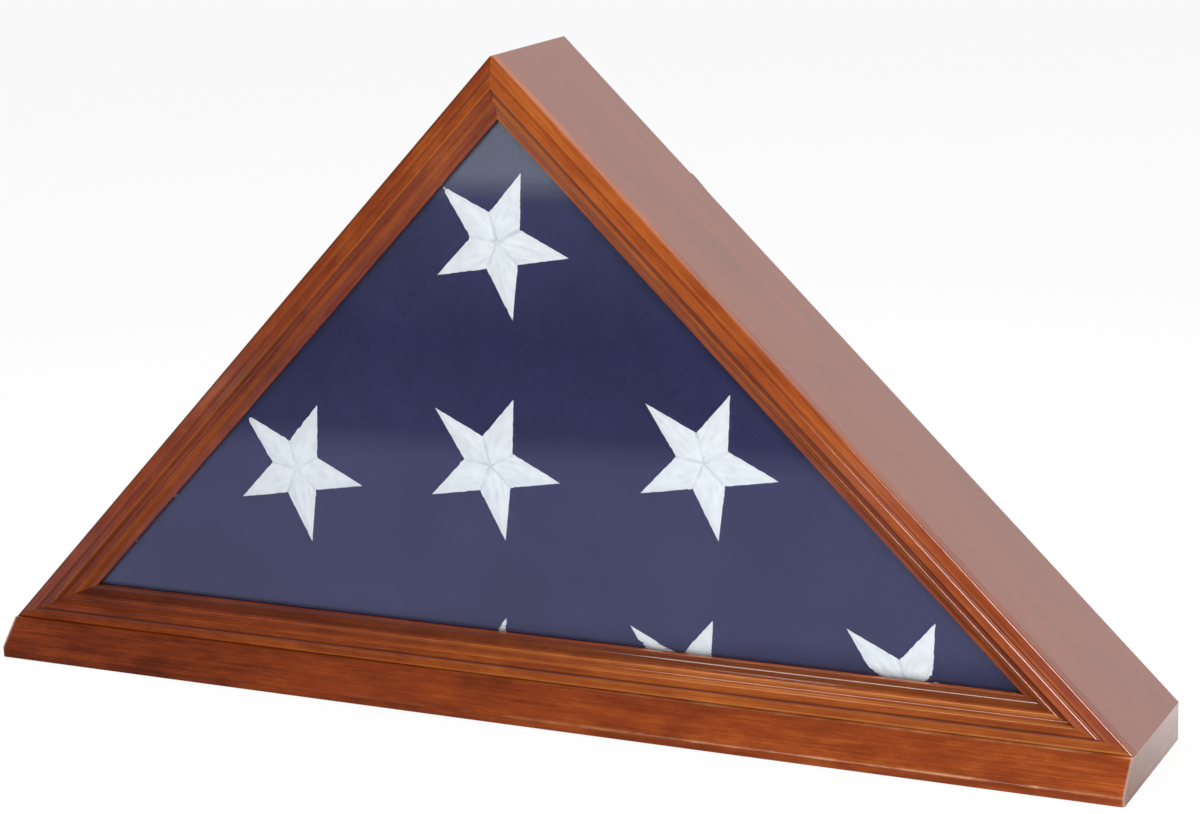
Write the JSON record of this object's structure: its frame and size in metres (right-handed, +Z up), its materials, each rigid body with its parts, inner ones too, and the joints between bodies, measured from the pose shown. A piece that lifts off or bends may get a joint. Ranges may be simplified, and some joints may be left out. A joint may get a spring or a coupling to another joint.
{
  "type": "folded flag display case",
  "caption": "Triangular glass-fronted wooden case on a bevelled plinth, with a mitred moulded frame, a folded flag inside and a back panel held by turn buttons.",
  "frame": {"origin": "on the surface that the plinth stands on, under the middle of the whole case", "axes": "+X to the right along the plinth, +Y from the glass front to the back panel, +Z up to the peak"},
  "size_m": [0.66, 0.102, 0.349],
  "materials": {
    "frame_wood": "cherry stain under gloss lacquer, moulded face",
    "case_wood": "cherry stain under gloss lacquer",
    "plinth_wood": "cherry stain under gloss lacquer",
    "spline_wood": "bare hardwood",
    "panel_board": "matt hardboard",
    "clear_glass": "clear float glass",
    "flag_cloth": "navy woven bunting",
    "star_thread": "white embroidery",
    "brass": "stamped brass, darkened to an antique brown",
    "steel": "plain bright steel"
  },
  "bodies": {
    "case": {"plinth_board": "plinth_wood", "case_left_side": "case_wood", "case_right_side": "case_wood", "case_bottom_board": "case_wood", "corner_splines": "spline_wood", "frame_left_rail": "frame_wood", "frame_right_rail": "frame_wood", "frame_bottom_rail": "frame_wood", "mitre_nails": "steel", "frame_brads": "steel", "glass_pane": "clear_glass", "glazing_points": "steel", "folded_flag": "flag_cloth", "flag_stars": "star_thread", "turn_button_screws": "brass", "plinth_screws": "steel"},
    "back_panel": {"back_panel": "panel_board"},
    "turn_button_left": {"turn_button_left": "brass"},
    "turn_button_right": {"turn_button_right": "brass"},
    "turn_button_bottom_left": {"turn_button_bottom_left": "brass"},
    "turn_button_bottom_right": {"turn_button_bottom_right": "brass"}
  },
  "joints": [
    {"name": "panel_lift_off", "type": "slide", "parent": "case", "child": "back_panel", "axis": [0, 1, 0], "range_m": [0, 0.12]},
    {"name": "button_turn_left", "type": "hinge", "parent": "case", "child": "turn_button_left", "pos_m": [-0.06806, 0.0474, 0.27473], "axis": [0, -1, 0], "continuous": true},
    {"name": "button_turn_right", "type": "hinge", "parent": "case", "child": "turn_button_right", "pos_m": [0.06806, 0.0474, 0.27473], "axis": [0, 1, 0], "continuous": true},
    {"name": "button_turn_bottom_left", "type": "hinge", "parent": "case", "child": "turn_button_bottom_left", "pos_m": [-0.1452, 0.0474, 0.02425], "axis": [0, -1, 0], "continuous": true},
    {"name": "button_turn_bottom_right", "type": "hinge", "parent": "case", "child": "turn_button_bottom_right", "pos_m": [0.1452, 0.0474, 0.02425], "axis": [0, 1, 0], "continuous": true}
  ]
}
